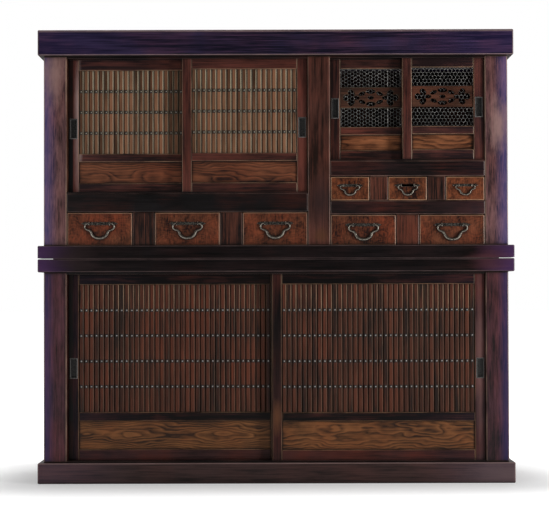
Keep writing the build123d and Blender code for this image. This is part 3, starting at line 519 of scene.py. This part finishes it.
woods = {
    "crown": lacqueredWood(         # near black with a violet bloom and fine level streaks
        "urushi lacquered crown board", dark="#0d0c1a", light="#352a46", worn="#8c7674", hue="#582e34",
        hueShare=0.6, cast="#140d27", gloss=0.36, fibreShare=0.9, patchWidth=22, patchLength=420,
        fibreWidth=3.5, wornLeast=0.35, border=0.5, borderWidth=12, brownAside=1.0),
    "waist": lacqueredWood(         # black in the middle, a painted plum sheen at its ends, a thin pale line at each arris
        "urushi lacquered waist board", dark="#050404", light="#191314", worn="#6f5d5c", hueShare=0.06,
        cast="#432a50", gloss=0.36, fibreShare=0.8, patchShare=0.9, patchWidth=35, wornLeast=0.2,
        wornShare=0.45, castFrom=0.74, sheen=0.07, brownAside=1.0,
        patches=((0.81, 0.86, 0.085, 0.06, "#48292c"), (-0.78, 0.86, 0.1, 0.06, "#2b2021"))),
    "plinth": lacqueredWood(        # dull grey brown, scuffed paler by feet and brooms
        "rubbed lacquer plinth board", dark="#100b0a", light="#3c2b29", worn="#8a7370", cast="#2e242f",
        hueShare=0.1, gloss=0.5, fibreShare=0.8, wornLeast=0.4, castFrom=0.5,
        patches=((0.86, 0.04, 0.16, 0.06, "#5a494b"),)),
    "post": lacqueredWood(          # dark plum brown, a painted plum sheen at its outer edges, painted shade beside the doors
        "rubbed lacquer cypress post", dark="#130b0c", light="#54323a", worn="#967a6a", cast="#221f45",
        ringSwing=1.0, patchShare=0.65, fibreLength=90, patchLength=150, patchWidth=45, castFrom=0.84,
        castTo=0.888, castCover=0.5, brownAside=1.0, border=0.6, borderWidth=12,
        patches=((-0.8, 0.45, 0.012, 0.4, "#2a1617"), (0.8, 0.45, 0.012, 0.4, "#2a1718"))),
    "upperPost": lacqueredWood(     # streaky, bleached atop the left post, painted sheen on the right one and at outer edges, painted shade beside the left door
        "worn lacquer cypress post", dark="#2a1a1c", light="#725050", worn="#a38673", cast="#373662",
        ringSwing=1.0, patchShare=0.8, fibreShare=0.8, fibreLength=60, fibreWidth=3.5, patchLength=110,
        patchWidth=40, castFrom=0.83, castTo=0.888, castCover=0.4, border=0.45, brownAside=1.0,
        patches=((-0.85, 1.58, 0.05, 0.14, "#92736d"), (0.855, 1.36, 0.04, 0.12, "#92736d"),
                 (-0.803, 1.27, 0.012, 0.3, "#3a2426"))),
    "centrePost": lacqueredWood(    # even red brown, painted shade between the drawers, a painted warm sheen at its foot
        "brown lacquer cypress post", dark="#1b0e09", light="#613a31", worn="#8d6a58", ringSwing=1.0,
        patchShare=0.8, border=0.5,
        unrubbed=((0.168, 1.08, 0.08, 0.11, "#1d1314"), (0.172, 0.945, 0.035, 0.028, "#4d301e"))),
    "wall": lacqueredWood(          # plain brown boards
        "lacquered cedar wall board", dark="#1c1110", light="#4a2f29", worn="#6e5348"),
    "smoked": lacqueredWood(        # matt near black for the inside faces, and painted shade on undersides
        "smoke-blackened inside board", dark="#060505", light="#1a1311", worn="#241a17", gloss=0.7),
    "rail": lacqueredWood(          # almost black, glowing red where the lacquer is thin
        "dark urushi rail", dark="#060404", light="#2c1919", worn="#7c6055", cast="#0c0812", gloss=0.36,
        castFrom=0.6, fibreShare=0.7, patchShare=0.7),
    "sill": lacqueredWood(          # plain black
        "black urushi sill", dark="#030202", light="#130e10", worn="#5e4a44", gloss=0.36,
        fibreShare=0.7, patchShare=0.7),
    "divider": lacqueredWood(       # brown heart with painted shade in its rim, and strong upright fibres
        "lacquered cedar divider", dark="#080404", light="#5a3428", worn="#7a5a4c", fibreShare=1.0,
        patchShare=0.8, toneShare=0.7, border=0.7, borderWidth=14),
    "inner": lacqueredWood(         # straw brown and matt, never lacquered
        "bare aged cedar", dark="#3c2618", light="#7a5638", worn="#8a6a4c", gloss=0.7, wornShare=0.3),
    "upperFrame": lacqueredWood(    # red brown, one stile rubbed pale, painted shade along the top of the left door's top rail
        "lacquered cypress door frame", dark="#1a0e0d", light="#5e342c", worn="#a08065", cast="#0c080e",
        gloss=0.38, toneShare=0.8, patchShare=0.7,
        patches=((-0.762, 1.4, 0.018, 0.3, "#a08a86"), (-0.558, 1.594, 0.2, 0.011, "#100a0b"))),
    "lowerFrame": lacqueredWood(    # black brown, paler at the right stile and low between the doors, painted shadow where they meet
        "dark lacquered door frame", dark="#080505", light="#3a2524", worn="#86684f", cast="#0a0710",
        gloss=0.38, toneShare=0.9, patchShare=0.7, sheen=0.08,
        patches=((0.779, 0.45, 0.018, 0.4, "#6e504d"),),
        unrubbed=((0.002, 0.57, 0.03, 0.24, "#090707"), (0.002, 0.25, 0.025, 0.07, "#64402b"))),
    "blackened": lacqueredWood(     # painted shadow of the post on a rear door's outer stile
        "unwiped black lacquer", dark="#030303", light="#0d0b0b", worn="#2a2222", gloss=0.5),
    "slat": lacqueredWood(          # brown strips, right arris worn and painted light, black at the nails, painted shadow at the meeting stile
        "lacquered cedar slat", dark="#190d08", light="#573022", worn="#8a6f58", toneShare=0.5,
        fibreShare=0.6, patchShare=0.7, gloss=0.5, wornLeast=0.25, wornShare=0.85, borderWidth=3,
        unrubbed=((-0.028, 0.5, 0.015, 0.5, "#100c0d"),)),
    "upperSlat": lacqueredWood(     # bleached tan strips, no two alike
        "faded cedar slat", dark="#372214", light="#876047", worn="#aea48c", toneShare=0.85,
        fibreShare=0.4, gloss=0.5, wornLeast=0.6, wornShare=0.95, borderWidth=3),
    "lowerPanel": lacqueredWood(    # amber brown with flame figure
        "figured cedar panel", dark="#24140a", light="#7c5130", worn="#8d6b50", ringWidth=6.5,
        ringSwing=3.6, ringShare=0.7, figureLength=170, fibreShare=0.4, gloss=0.45, border=0.7,
        borderWidth=14),
    "upperPanel": lacqueredWood(    # redder, with painted shade in a wide rim
        "figured elm panel", dark="#1d0d0b", light="#794931", worn="#8d6b50", ringWidth=6.5,
        ringSwing=3.4, ringShare=0.6, figureLength=170, fibreShare=0.4, gloss=0.45, border=0.85,
        borderWidth=19),
    "meshPanel": lacqueredWood(     # the brightest, orange brown, with painted shade in its rim
        "bright elm panel", dark="#2b140a", light="#9d6340", worn="#a07a5c", ringWidth=7, ringSwing=2.4,
        ringShare=0.45, figureLength=160, fibreShare=0.4, border=0.85, borderWidth=15),
    "carved": lacqueredWood(        # dark ground, with the knife's cuts rubbed pale
        "carved lacquered panel", dark="#150c0a", light="#4d3326", worn="#7d7360", wornLeast=0.5,
        wornShare=0.9, border=0.4, borderWidth=6),
    "drawer": lacqueredWood(        # short-fibred red brown mottle, painted shade round its rim, pale at its arris
        "figured zelkova drawer front", dark="#180806", light="#70402a", worn="#a07a62", ringWidth=12,
        ringSwing=5.5, ringShare=0.3, figureLength=90, fibreLength=5, fibreWidth=24, patchLength=50,
        patchWidth=90, hue="#803119", hueShare=0.7, border=0.65, borderWidth=12, wornLeast=0.5,
        wornShare=0.95),
    "smallDrawer": lacqueredWood(   # the same, finer and more orange
        "orange zelkova drawer front", dark="#1a0906", light="#7a4429", worn="#a88062", ringWidth=10,
        ringSwing=5.0, ringShare=0.3, figureLength=80, fibreLength=5, fibreWidth=18, patchLength=36,
        patchWidth=60, patchShare=0.7, border=0.65, borderWidth=10, wornLeast=0.5, wornShare=0.95),
}
print("woods made:", len(woods))

iron = {
    "pull": blackenedIron(          # a black slot with a thin grey rim
        "blackened iron pull", scale="#0c0b0b", rubbed="#8f8b87", bare=0.1, edgeShare=0.8, metallic=0.4,
        roughness=0.5),
    "plate": blackenedIron(         # a black strip, its arrises bright: rubbed iron and painted highlight
        "blackened iron plate", scale="#100f0e", rubbed="#cfc9bc", bare=0.15, edgeShare=1.0),
    "bail": blackenedIron(          # steel grey from hands, dull in its hollows
        "forged iron bail", scale="#55504a", rubbed="#a19a8d", bare=0.6, roughness=0.4, metallic=0.95,
        hammered=0.08),
    "nail": blackenedIron(          # a black ring round a grey dot, the dot a painted glint
        "domed iron nail", scale="#060606", rubbed="#96918f", bare=0.03, edgeShare=1.0, metallic=0.3),
    "upperNail": blackenedIron(     # the same, browner
        "dark domed iron nail", scale="#080707", rubbed="#847c70", bare=0.03, edgeShare=1.0,
        metallic=0.3),
    "wire": blackenedIron(          # dull zinc grey threads before the dark
        "dull galvanised wire", scale="#5a5a5a", rubbed="#cdc9c4", bare=1.0, roughness=0.5,
        metallic=0.5),
}

# carcase

crownTop = cadBox[1].z
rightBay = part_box("right_drawer_1_box")[0].x
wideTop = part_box("right_drawer_1_box")[1].z
caseInside = (cadBox[1].x - 37 * mm, cadBox[1].y - 16.5 * mm)     # within the side and back boards
# the right posts are painted darker than the left, a painted shade that offsets the stronger right lamp
postTones = {"left": 0.55, "right": 0.15}
dividerTones = {"left": 0.25, "small": 0.3, "wide": 0.75}


def postTone(low, high):
    return postTones["left" if low.x < 0 else "right"]


def dividerTone(low, high):
    return dividerTones["left" if low.x < 0 else "small" if low.z > wideTop else "wide"]


woodenPiece("base_plinth", [woods["plinth"], woods["inner"]], ease=2.0,
            pick=lambda low, high: int(low.z > 20 * mm))     # the floor boards lie off the ground
# the undersides of these boards get painted shade
woodenPiece("lower_cap_board", [woods["waist"], woods["smoked"]], ease=1.3, dullUnder=True)
woodenPiece("upper_base_board", [woods["waist"], woods["smoked"]], ease=1.3, dullUnder=True)
woodenPiece("crown", [woods["crown"], woods["smoked"]], ease=2.2, dullUnder=True,
            band=(crownTop - 9 * mm, crownTop - 4.5 * mm))     # a painted highlight line along the front, near the top
woodenPiece("lower_posts", [woods["post"]], ease=2.2, tones=postTone)
woodenPiece("upper_posts", [woods["upperPost"], woods["centrePost"]], ease=2.2, tones=postTone,
            pick=lambda low, high: int(abs(low.x + high.x) < cadBox[1].x))
for case in ("lower_case_boards", "upper_case_boards"):
    woodenPiece(case, [woods["wall"], woods["smoked"]], ease=0.8, inside=caseInside)
woodenPiece("upper_front_rails", [woods["rail"], woods["sill"]], ease=1.6,
            pick=lambda low, high: int(high.x < rightBay))
woodenPiece("drawer_dividers", [woods["divider"]], ease=1.2, tones=dividerTone)
woodenPiece("drawer_guides", [woods["inner"]], ease=0.8)
woodenPiece("door_grooves", [woods["sill"]], ease=0.7)
print("carcase dressed")

# doors

nailShape = {
    "rim": 6.2, "sides": 8, "bright": 2.34, "scatter": 0.5,       # mm
    # radius and height of each step from the rim to the top of the dome
    "steps": ((5.766, 0.7), (2.6, 0.7), (2.08, 1.4), (0.91, 2.0)),
}


def domedNail(shape):
    # a black forged rim with the top of its dome painted pale, a painted glint on rubbed iron
    bm = bmesh.new()
    bmesh.ops.create_circle(bm, cap_ends=True, segments=shape["sides"], radius=shape["rim"] * mm)
    top = bm.faces[:][0]
    wear = bm.loops.layers.float.new("edgeWear")
    for radius, height in shape["steps"]:
        top = bmesh.ops.extrude_discrete_faces(bm, faces=[top])["faces"][0]
        reach = max(v.co.to_2d().length for v in top.verts)
        bmesh.ops.scale(bm, vec=(radius * mm / reach,) * 2 + (1,), verts=top.verts)
        for vert in top.verts:
            vert.co.z = height * mm
    bmesh.ops.remove_doubles(bm, verts=bm.verts, dist=weld)
    for face in bm.faces:
        for loop in face.loops:
            loop[wear] = float(face.calc_center_median().to_2d().length < shape["bright"] * mm)
    bmesh.ops.rotate(bm, cent=(0, 0, 0), matrix=Matrix.Rotation(quarter, 3, "X"), verts=bm.verts)
    return meshOf(bm, "nailShape")


nailMesh = domedNail(nailShape)


def nailRows(door, material, body):
    random.seed(door + "nails")
    boxes = solidsOf(door + "_slats")
    slats = [box for box in boxes if not isLevel(*box)]
    battens = [box for box in boxes if isLevel(*box)]
    bm = bmesh.new()
    for low, high in slats:
        for under, over in battens:
            bm.from_mesh(nailMesh)
            bm.verts.ensure_lookup_table()
            verts = bm.verts[-len(nailMesh.vertices):]
            jitter = [random.uniform(-1, 1) * nailShape["scatter"] * mm for _ in range(2)]
            centre = ((low.x + high.x) / 2 + jitter[0], low.y, (under.z + over.z) / 2 + jitter[1])
            bmesh.ops.translate(bm, vec=centre, verts=verts)
    return finishPiece(bm, door + "_nails", [material], body=body, smoothAngle=60)


# how dark each board of a frame is: left stile, right stile, bottom, middle and top rail
frameTones = {
    "lower_left_door": (0.15, 0.4, 0.8, 0.05, 0.0), "lower_right_door": (0.45, 1.0, 0.8, 0.05, 0.0),
    "upper_left_door": (1.0, 0.45, 0.25, 0.4, 0.15), "upper_right_door": (0.45, 0.75, 0.25, 0.4, 0.35),
    "netted_left_door": (0.1, 0.4, 0.15, 0.3, 0.0), "netted_right_door": (0.6, 0.4, 0.1, 0.25, 0.0),
}
slattedDoors, nettedDoors = list(frameTones)[:4], list(frameTones)[4:]
panelTones = dict(zip(frameTones, (0.6, 0.5, 0.6, 0.4, 0.4, 0.1)))
carvedTones = dict(zip(nettedDoors, (0.15, 0.85)))
blackStrip = 18     # mm of each rear door's outer stile behind the post, painted black as the post's shadow


def framePiece(door, material):
    low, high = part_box(door + "_frame")
    levels = sorted({round((a.z + b.z) / 2, 3) for a, b in solidsOf(door + "_frame") if isLevel(a, b)})

    def tone(a, b):
        left, right, *rails = frameTones[door]
        if isLevel(a, b):
            return rails[levels.index(round((a.z + b.z) / 2, 3))]
        return left if a.x + b.x < low.x + high.x else right

    # the rear slatted doors get a painted shadow of their post down the outer stile
    strip = low.x + blackStrip * mm if "left" in door and door in slattedDoors else None
    woodenPiece(door + "_frame", [woods[material], woods["blackened"]], ease=1.8, tones=tone, blackTo=strip)


# the right arris of each slat is paler than its left, as wear and a painted highlight from the right lamp, and
# most above its top nails
slatRub = {"left": (0.0, 0.2), "right": (0.5, 0.9), "top": 1.4, "lowerDoor": 0.45, "upperDoor": 1.0}


def slatWear(topRow, below):
    def share(face, number):
        right = face.normal.x > 0
        amount = random.Random(number * 2 + right).uniform(*slatRub["right" if right else "left"])
        return amount * (slatRub["top"] if face.calc_center_median().z > topRow else below)
    return share


for door in slattedDoors:
    case = "lower" if door.startswith("lower") else "upper"
    framePiece(door, case + "Frame")
    rows = sorted({round((a.z + b.z) / 2, 5) for a, b in solidsOf(door + "_slats") if isLevel(a, b)})
    woodenPiece(door + "_slats", [woods["slat" if case == "lower" else "upperSlat"]], ease=0.5,
                stains=rows, share=slatWear(rows[-1], slatRub[case + "Door"]))
    woodenPiece(door + "_panel", [woods[case + "Panel"]], ease=1.0, tones=lambda low, high: panelTones[door])
    nailRows(door, iron["nail" if case == "lower" else "upperNail"], door)

# carved panel: quatrefoils at its ends and a ring of ovals in its middle, cut through with a knife

carving = {
    "flowerPlace": 75, "flowerReach": 32, "flowerWaist": 0.42, "fullness": 0.55, "tipPinch": 0.5,
    "flowerSides": 40, "ovalSides": 16, "cut": 1.1, "rim": 2, "cutRub": 0.3,
    # across, up, half length, half height, tilt
    "ovals": ((0, 0, 12, 7, 0), (0, 24, 19, 9, 0), (0, -24, 19, 9, 0), (34, 16, 14, 7.5, -22),
              (-34, 16, 14, 7.5, 22), (34, -16, 14, 7.5, 22), (-34, -16, 14, 7.5, -22)),
}


def carvedFront(bm, solid):
    boxes = solidBoxes(bm, solid)
    number = max(boxes, key=lambda n: boxes[n][0].z)
    low, high = boxes[number]
    old = [f for f in bm.faces if f[solid] == number]
    bmesh.ops.delete(bm, geom=old, context="FACES")
    cut = bmesh.new()
    bmesh.ops.create_grid(cut, x_segments=1, y_segments=1, size=0.5)
    bmesh.ops.scale(cut, vec=(high.x - low.x, high.z - low.z, 1), verts=cut.verts)
    bmesh.ops.delete(cut, geom=cut.faces[:], context="FACES_ONLY")
    for across, up, length, height, tilt in carving["ovals"]:
        turned = Matrix.Translation((across * mm, up * mm, 0)) @ Matrix.Rotation(math.radians(tilt), 4, "Z")
        made = bmesh.ops.create_circle(cut, segments=carving["ovalSides"], radius=mm)["verts"]
        bmesh.ops.scale(cut, vec=(length, height, 1), verts=made)
        bmesh.ops.transform(cut, matrix=turned, verts=made)
    for side in (-1, 1):
        made = bmesh.ops.create_circle(cut, segments=carving["flowerSides"], radius=1)["verts"]
        for vert in made:
            turn = math.atan2(vert.co.y, vert.co.x)
            waist = carving["flowerWaist"]
            petal = abs(math.cos(2 * turn)) ** carving["fullness"]
            reach = carving["flowerReach"] * mm * (waist + (1 - waist) * petal)
            inward = max(0, -side * vert.co.x)
            vert.co = Vector((vert.co.x, vert.co.y * (1 - carving["tipPinch"] * inward), 0)) * reach
        bmesh.ops.translate(cut, vec=(side * carving["flowerPlace"] * mm, 0, 0), verts=made)
    bmesh.ops.triangle_fill(cut, use_beauty=True, use_dissolve=False, edges=cut.edges[:], normal=(0, 0, 1))
    raiseFaces(cut, cut.faces[:], high.y - low.y)
    bmesh.ops.recalc_face_normals(cut, faces=cut.faces)
    bmesh.ops.dissolve_limit(cut, angle_limit=flat, verts=cut.verts[:], edges=cut.edges[:])
    top = high.y - low.y - weld
    rims = [e for e in cut.edges if all(v.co.z > top for v in e.verts) and e.calc_face_angle(0) > 1]
    bmesh.ops.bevel(cut, geom=rims, offset=carving["cut"] * mm, offset_type="OFFSET", segments=1,
                    profile=0.5, affect="EDGES", clamp_overlap=True, material=-1)
    upright = Matrix.Translation(((low.x + high.x) / 2, high.y, (low.z + high.z) / 2))
    bmesh.ops.transform(cut, matrix=upright @ Matrix.Rotation(quarter, 4, "X"), verts=cut.verts)
    numbers = cut.faces.layers.int.new("solid")
    for face in cut.faces:
        face[numbers] = number
    bm.from_mesh(meshOf(cut, "carved"))


for door in nettedDoors:
    framePiece(door, "upperFrame")
    foot, head = (corner.z for corner in max(solidsOf(door + "_panels"), key=lambda corners: corners[0].z))
    field = (foot + carving["rim"] * mm, head - carving["rim"] * mm)
    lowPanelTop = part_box(door + "_netting")[0].z
    woodenPiece(door + "_panels", [woods["meshPanel"], woods["carved"]], ease=0.9, shape=carvedFront,
                share=lambda face, number: carving["cutRub"]
                if field[0] < face.calc_center_median().z < field[1] else 1.0,
                pick=lambda low, high: int(low.z > lowPanelTop),
                tones=lambda low, high: (carvedTones if low.z > lowPanelTop else panelTones)[door])
print("doors dressed")

# netting: hexagons of twisted wire, which the maker turned the other way in the left door

netting = {
    # across each hexagon's flats and from row to row, whether it is turned a quarter, and how far from the
    # right a doubled wire joins two strips, in mm
    "netted_left_door": {"pitch": 13.6, "row": 11.8, "turned": True, "seam": 52},
    "netted_right_door": {"pitch": 14.7, "row": 12.7, "turned": False, "seam": None},
    "wire": 1.0, "seamWire": 1.3,
    "inset": 0.8, "weld": 0.4,     # how far its edge keeps from its frame, and how near corners become one
}


def hexNetting(door):
    low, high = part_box(door + "_netting")
    bm = bmesh.new()
    pitch, row = netting[door]["pitch"] * mm, netting[door]["row"] * mm
    corner = pitch / math.sqrt(3)
    reach = max(high.x - low.x, high.z - low.z) / 2 + pitch
    middle = (low + high) / 2
    across, along = int(reach / pitch) + 1, int(reach / row) + 1
    for i in range(-across, across + 1):
        for j in range(-along, along + 1):
            place = Matrix.Translation((middle.x + (i + j % 2 / 2) * pitch, middle.y, middle.z + j * row))
            turn = Matrix.Rotation(quarter, 4, "X") @ Matrix.Scale(row / (1.5 * corner), 4, (0, 1, 0))
            bmesh.ops.create_circle(bm, cap_ends=True, segments=6, radius=corner, matrix=place @ turn)
    bmesh.ops.remove_doubles(bm, verts=bm.verts, dist=netting["weld"] * mm)
    if netting[door]["turned"]:
        bmesh.ops.rotate(bm, cent=middle, matrix=Matrix.Rotation(quarter, 3, "Y"), verts=bm.verts)
    inset = netting["inset"] * mm
    for point, normal in (((low.x + inset, 0, 0), (-1, 0, 0)), ((high.x - inset, 0, 0), (1, 0, 0)),
                          ((0, 0, low.z + inset), (0, 0, -1)), ((0, 0, high.z - inset), (0, 0, 1))):
        slicePlane(bm, point, normal, clear_outer=True)
    bmesh.ops.recalc_face_normals(bm, faces=bm.faces)
    bmesh.ops.wireframe(bm, faces=bm.faces, thickness=netting["wire"] * mm, use_boundary=True,
                        use_even_offset=True, use_replace=True)
    if netting[door]["seam"]:
        foot = Matrix.Translation((high.x - netting[door]["seam"] * mm, middle.y, low.z + inset))
        ring = bmesh.ops.create_circle(bm, cap_ends=True, segments=6, radius=netting["seamWire"] * mm,
                                       matrix=foot)["verts"]
        lifted = raiseFaces(bm, inOrder(f for v in ring for f in v.link_faces), high.z - low.z - 2 * inset)
        bmesh.ops.recalc_face_normals(bm, faces=inOrder(f for v in ring + lifted for f in v.link_faces))
    return finishPiece(bm, door + "_wire", [iron["wire"]], node=door + "_netting")


for door in nettedDoors:
    hexNetting(door)
print("netting woven")

# ironwork kept from the frame, its arrises eased by so many mm like forged metal

def dressedIron(node, ease, metal):
    bm, solid = easedSolids(node, ease, sharpest=40)
    wearArrises(bm, solid)
    bm.faces.layers.int.remove(solid)
    finishPiece(bm, node + "_dressed", [metal], node=node)


for door in frameTones:
    dressedIron(door + "_pull", 0.6, iron["pull"])

# bails: a bar drawn thin towards its pins and left thick in the bow

bailShape = {
    # left half of the bar from its pin to the middle of the bow: across, up, radius, in mm
    "run": ((-36.5, 0, 2.8), (-41, 0, 2.8), (-46.5, -0.2, 3.0), (-54, -4.8, 3.2), (-56.2, -12, 3.3),
            (-53, -19.8, 3.4), (-45.5, -24.2, 3.7), (-37.6, -26.6, 4.2), (-31.6, -33.5, 4.8),
            (-28, -42.3, 5.2), (-20.8, -50, 5.5), (-10.8, -54.8, 5.6), (0, -56, 5.6)),
    "small": 0.648,     # the small drawers' bails against the large ones
    "uneven": 0.5,      # mm by which the smith's bends differ
    "pinKnots": 3,      # the first points, which keep to the eye
}


def forgedBail(drawer):
    random.seed(drawer)
    pin = next(j["pos_m"] for j in frame["joints"] if j["name"] == drawer + "_bail_swing")
    size = (bailShape["small"] if drawer.startswith("small") else 1) * mm
    half = []
    for number, (x, z, radius) in enumerate(bailShape["run"]):
        bend = random.uniform(-1, 1) * bailShape["uneven"] * (number >= bailShape["pinKnots"])
        half.append(((x + bend) * size, 0.0, z * size, radius * size))
    points = half + [(-x, y, z, radius) for x, y, z, radius in reversed(half[:-1])]
    bar = bpy.data.curves.new("bar", "CURVE")
    bar.dimensions = "3D"
    spline = bar.splines.new("BEZIER")
    spline.bezier_points.add(len(points) - 1)
    for knot, (x, y, z, radius) in zip(spline.bezier_points, points):
        knot.co, knot.radius = (x + pin[0], y + pin[1], z + pin[2]), radius
        knot.handle_left_type = knot.handle_right_type = "AUTO"
    spline.resolution_u = 4
    bar.bevel_depth, bar.bevel_resolution, bar.use_fill_caps = 1.0, 3, True
    holder = addObject("bar", bar)
    bpy.context.view_layer.update()
    swept = bpy.data.meshes.new_from_object(holder.evaluated_get(bpy.context.evaluated_depsgraph_get()))
    bm = bmesh.new()
    bm.from_mesh(swept)
    bmesh.ops.remove_doubles(bm, verts=bm.verts, dist=weld)
    bmesh.ops.recalc_face_normals(bm, faces=bm.faces)
    bpy.data.objects.remove(holder)
    finishPiece(bm, drawer + "_bail_forged", [iron["bail"]], node=drawer + "_bail", smoothAngle=50)


# how light each drawer front is
drawerTones = {
    "left_drawer_1": 0.5, "left_drawer_2": 0.45, "left_drawer_3": 0.45, "right_drawer_1": 0.15,
    "right_drawer_2": 0.7, "small_drawer_1": 0.5, "small_drawer_2": 0.1, "small_drawer_3": 0.75,
}
for drawer in drawerTones:
    look = woods["smallDrawer" if drawer.startswith("small") else "drawer"]
    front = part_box(drawer + "_box")[0].y
    woodenPiece(drawer + "_box", [look, woods["inner"]], ease=1.5,
                pick=lambda low, high: int(low.y > front + mm), tones=lambda low, high: drawerTones[drawer])
    dressedIron(drawer + "_plate", 0.9, iron["plate"])
    forgedBail(drawer)
print("drawers dressed")

# studio: white floor, three soft boxes, a dim room towards the camera

studio = {
    "rightPower": 160, "rightSize": 0.9, "rightPlace": (4.15, -2.6, 1.2), "aim": (0, 0, 0.8),
    "leftPower": 52, "leftSize": 1.3, "leftPlace": (-3.4, -3.4, 1.05),
    "topPower": 90, "topSize": 2.4, "topPlace": (0, 0.9, 3.9),
    "room": 0.16, "mirroredRoom": 0.05, "backdrop": 1.0, "roomEnds": -0.3, "backdropStarts": 0.4,
    "nearGlow": 0.28, "farGlow": 1.0, "glowReach": 0.62, "floorColour": "#e6e6e6", "floorRadius": 40,
}


def softBox(name, place, size, power):
    lamp = bpy.data.lights.new(name, "AREA")
    lamp.shape = "SQUARE"
    lamp.size = size
    lamp.energy = power
    holder = addObject(name, lamp)
    holder.location = place
    holder.rotation_euler = (Vector(studio["aim"]) - Vector(place)).to_track_quat("-Z", "Y").to_euler()


for side in ("left", "right", "top"):
    softBox(side + "SoftBox", studio[side + "Place"], studio[side + "Size"], studio[side + "Power"])

world = bpy.data.worlds.new("studio")
bpy.context.scene.world = world
world.use_nodes = True
tree = world.node_tree
tree.nodes.clear()
rays = addNode(tree, "LightPath")
direction = addNode(tree, "SeparateXYZ", {"Vector": addNode(tree, "TexCoord").outputs["Generated"]})
mirrored = addNode(tree, "MapRange", {"Value": direction.outputs["Y"], "From Min": studio["roomEnds"],
                                      "From Max": studio["backdropStarts"],
                                      "To Min": studio["mirroredRoom"], "To Max": studio["backdrop"]})
shiny = addNode(tree, "Math", {0: rays.outputs["Is Glossy Ray"], 1: rays.outputs["Is Transmission Ray"]},
                operation="MAXIMUM")
strength = addNode(tree, "Mix", {0: shiny, 2: studio["room"], 3: mirrored})
strength = addNode(tree, "Mix", {0: rays.outputs["Is Camera Ray"], 2: strength,
                                 3: studio["backdrop"]})
light = addNode(tree, "Background", {"Color": (1, 1, 1, 1), "Strength": strength})
addNode(tree, "OutputWorld", {"Surface": light})

# matt white paper: it shows the object's shadow, and its glow is weakest near the object, a painted shadow that
# fades to plain white away from it
floorMaterial, tree = newMaterial("white studio floor")
rays = addNode(tree, "LightPath")
seen = addNode(tree, "Math", {0: rays.outputs["Is Camera Ray"], 1: rays.outputs["Is Glossy Ray"]},
               operation="MAXIMUM")
floorPlace = addNode(tree, "VectorMath", {0: addNode(tree, "TexCoord").outputs["Object"]},
                     operation="ABSOLUTE")
outside = addNode(tree, "VectorMath", {0: floorPlace, 1: (cadBox[1].x, cadBox[1].y, 0)},
                  operation="SUBTRACT")
outside = addNode(tree, "VectorMath", {0: outside, 1: (0, 0, 0)}, operation="MAXIMUM")
reach = addNode(tree, "VectorMath", {0: outside}, operation="LENGTH")
# painted shadow: the glow is weakest beside the object and full some way off
spread = addNode(tree, "MapRange", {"Value": reach.outputs["Value"], "From Min": 0.0,
                                    "From Max": studio["glowReach"], "To Min": studio["nearGlow"],
                                    "To Max": studio["farGlow"]}, interpolation_type="SMOOTHSTEP")
glow = addNode(tree, "Math", {0: seen, 1: spread}, operation="MULTIPLY")
paper = addNode(tree, "BsdfPrincipled", {"Base Color": linear(studio["floorColour"]), "Roughness": 0.9,
                                         "Specular IOR Level": 0.0, "Emission Color": (1, 1, 1, 1),
                                         "Emission Strength": glow})
finishMaterial(tree, paper)
bm = bmesh.new()
bmesh.ops.create_circle(bm, cap_ends=True, segments=64, radius=studio["floorRadius"])
floor = addObject("studioFloor", meshOf(bm, "studioFloor"))
floor.data.materials.append(floorMaterial)

# camera

camera = {"place": (-0.0059, -5.5, 0.7384), "yaw": -0.001, "pitch": 0.962, "roll": -0.155, "lens": 90.8}
yaw, pitch, roll = (math.radians(camera[key]) for key in ("yaw", "pitch", "roll"))
forward = Vector((math.sin(yaw) * math.cos(pitch), math.cos(yaw) * math.cos(pitch), math.sin(pitch)))
right = Vector((math.cos(yaw), -math.sin(yaw), 0))
up = right.cross(forward)
right, up = (right * math.cos(roll) + up * math.sin(roll), up * math.cos(roll) - right * math.sin(roll))
lens = bpy.data.cameras.new("camera")
lens.lens, lens.sensor_width, lens.clip_end = camera["lens"], 36, 200
holder = addObject("camera", lens)
turn = Matrix((right, up, -forward)).transposed().to_4x4()
holder.matrix_world = Matrix.Translation(camera["place"]) @ turn
bpy.context.scene.camera = holder
bpy.context.scene.view_settings.view_transform = "Standard"
print("studio set")
